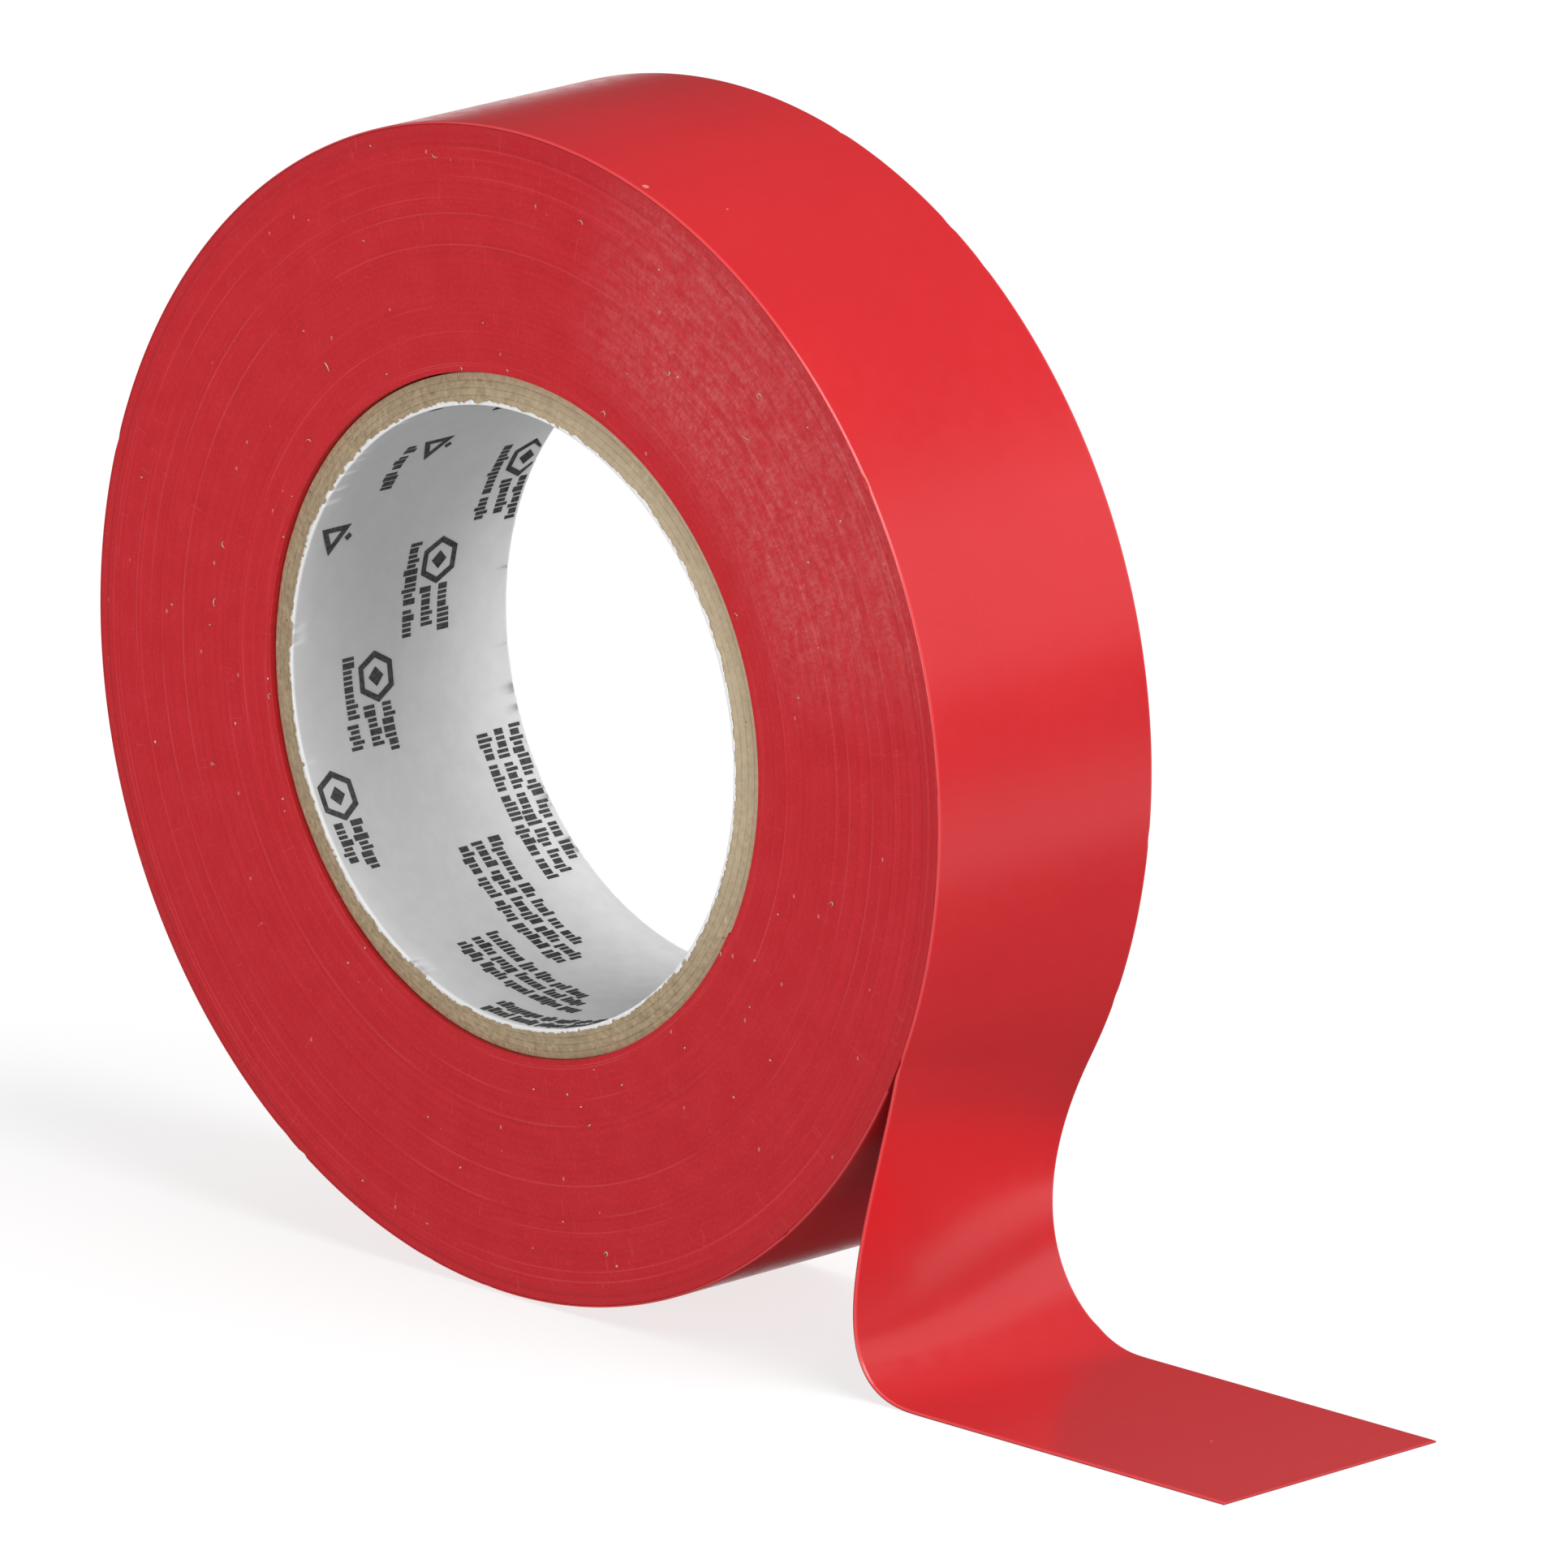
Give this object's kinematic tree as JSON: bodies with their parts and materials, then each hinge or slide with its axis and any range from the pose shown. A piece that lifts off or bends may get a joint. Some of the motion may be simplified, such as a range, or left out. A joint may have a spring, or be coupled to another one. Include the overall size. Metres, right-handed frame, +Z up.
{
  "type": "electrical tape roll",
  "caption": "Roll of red PVC electrical tape on a chipboard core with a paper liner, standing on its rim with its free end peeled off and lying flat.",
  "frame": {"origin": "the point of the rim that the roll stands on, at the middle of the tape's width", "axes": "+Y along the roll's axis towards the back face, +X along the ground towards the tape's free end, +Z up"},
  "size_m": [0.1021, 0.019, 0.077],
  "materials": {
    "tape_film": "satin red PVC film",
    "tape_side": "cut edges of the wound turns, fine concentric lines",
    "tape_adhesive": "tacky, half-gloss",
    "core_chipboard": "matte grey-brown fibre board",
    "liner_paper": "matte white paper"
  },
  "bodies": {
    "roll": {"paper_liner": "liner_paper", "core_ply_1": "core_chipboard", "core_ply_2": "core_chipboard", "core_ply_3": "core_chipboard", "core_ply_4": "core_chipboard", "wound_tape": "tape_side", "outer_turn_adhesive": "tape_adhesive", "outer_turn_film": "tape_film"},
    "tail_web": {"tail_web_film": "tape_film", "tail_web_adhesive": "tape_adhesive"},
    "tail_foot": {"tail_foot_film": "tape_film", "tail_foot_adhesive": "tape_adhesive"},
    "tail_tip": {"tail_tip_film": "tape_film", "tail_tip_adhesive": "tape_adhesive"}
  },
  "joints": [
    {"name": "peel", "type": "hinge", "parent": "roll", "child": "tail_web", "pos_m": [0.03429, 0, 0.02054], "axis": [0.0858, -0.9828, 0.1637], "range_deg": [0, 90]},
    {"name": "knee_flex", "type": "hinge", "parent": "tail_web", "child": "tail_foot", "pos_m": [0.03141, 0, 0.00291], "axis": [-0.0002, -0.9991, -0.0426], "range_deg": [-75, 10]},
    {"name": "tip_curl", "type": "hinge", "parent": "tail_foot", "child": "tail_tip", "pos_m": [0.05037, 0, 0], "axis": [0.0052, -1, 0], "range_deg": [-60, 30]}
  ]
}
